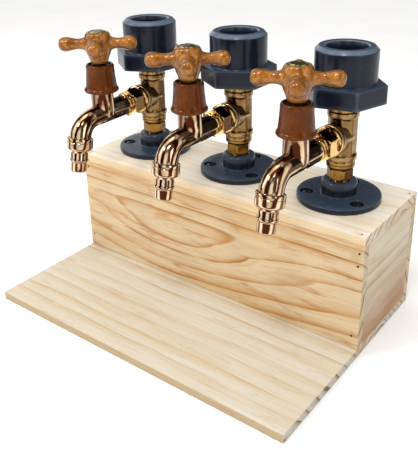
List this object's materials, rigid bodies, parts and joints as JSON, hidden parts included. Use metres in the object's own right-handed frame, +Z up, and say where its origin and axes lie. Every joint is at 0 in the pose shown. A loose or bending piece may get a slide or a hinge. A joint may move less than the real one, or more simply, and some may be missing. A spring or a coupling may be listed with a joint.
{
  "type": "beer tap tower",
  "caption": "Pine box with a drip tray board, carrying pipe-fitting posts that each hold a bottle socket and a rose gold cross-handle tap over the tray.",
  "frame": {"origin": "middle of the footprint, on the surface the stand rests on", "axes": "+X along the box to the right, +Y to the back, +Z up; the tray is at the front"},
  "size_m": [0.3, 0.211, 0.2376],
  "materials": {
    "pine_front": "sealed, straight grain with broad figure",
    "pine_top": "pale, sanded",
    "pine_end": "sanded, end grain at the edges",
    "pine_tray": "pale, sanded",
    "brad_steel": "dark, slightly sunk",
    "screw_black": "glossy black",
    "slate_pvc": "satin dark slate",
    "brass_machined": "turned and polished",
    "brass_cast": "cast, dull",
    "rose_gold": "polished rose gold plating",
    "handle_burl": "glossy mottled brown",
    "skirt_brown": "glossy brown",
    "button_gold": "satin greenish gold",
    "seal_rubber": "soft grey-green",
    "black_rubber": "black",
    "gasket_fibre": "red fibre",
    "ceramic_white": "lapped",
    "screw_steel": "bright"
  },
  "bodies": {
    "stand": {"front_board": "pine_front", "back_board": "pine_front", "top_board": "pine_top", "bottom_board": "pine_end", "left_end_board": "pine_end", "right_end_board": "pine_end", "tray_board": "pine_tray", "brad_nails": "brad_steel", "flange_screws": "screw_black", "inlet_gaskets": "gasket_fibre", "fixed_ceramic_discs": "ceramic_white", "cartridge_seals": "black_rubber", "flange_left": "slate_pvc", "flange_middle": "slate_pvc", "flange_right": "slate_pvc", "lower_nipple_left": "brass_machined", "lower_nipple_middle": "brass_machined", "lower_nipple_right": "brass_machined", "tee_left": "brass_cast", "tee_middle": "brass_cast", "tee_right": "brass_cast", "upper_nipple_left": "brass_machined", "upper_nipple_middle": "brass_machined", "upper_nipple_right": "brass_machined", "bottle_socket_left": "slate_pvc", "bottle_socket_middle": "slate_pvc", "bottle_socket_right": "slate_pvc", "neck_seal_left": "seal_rubber", "neck_seal_middle": "seal_rubber", "neck_seal_right": "seal_rubber", "tap_body_left": "rose_gold", "tap_body_middle": "rose_gold", "tap_body_right": "rose_gold", "spout_nut_left": "rose_gold", "spout_nut_middle": "rose_gold", "spout_nut_right": "rose_gold", "hose_nozzle_left": "rose_gold", "hose_nozzle_middle": "rose_gold", "hose_nozzle_right": "rose_gold", "valve_cartridge_left": "brass_machined", "valve_cartridge_middle": "brass_machined", "valve_cartridge_right": "brass_machined", "bonnet_skirt_left": "skirt_brown", "bonnet_skirt_middle": "skirt_brown", "bonnet_skirt_right": "skirt_brown"},
    "handle_left": {"rotating_disc_left": "ceramic_white", "spindle_left": "brass_machined", "cross_handle_left": "handle_burl", "handle_screw_left": "screw_steel", "index_button_left": "button_gold"},
    "handle_middle": {"rotating_disc_middle": "ceramic_white", "spindle_middle": "brass_machined", "cross_handle_middle": "handle_burl", "handle_screw_middle": "screw_steel", "index_button_middle": "button_gold"},
    "handle_right": {"rotating_disc_right": "ceramic_white", "spindle_right": "brass_machined", "cross_handle_right": "handle_burl", "handle_screw_right": "screw_steel", "index_button_right": "button_gold"}
  },
  "joints": [
    {"name": "handle_turn_left", "type": "hinge", "parent": "stand", "child": "handle_left", "pos_m": [-0.09883, -0.01192, 0.2265], "axis": [0, 0, 1], "range_deg": [0, 90]},
    {"name": "handle_turn_middle", "type": "hinge", "parent": "stand", "child": "handle_middle", "pos_m": [0.00015, -0.012, 0.2265], "axis": [0, 0, 1], "range_deg": [0, 90]},
    {"name": "handle_turn_right", "type": "hinge", "parent": "stand", "child": "handle_right", "pos_m": [0.09852, -0.01197, 0.2265], "axis": [0, 0, 1], "range_deg": [0, 90]}
  ]
}
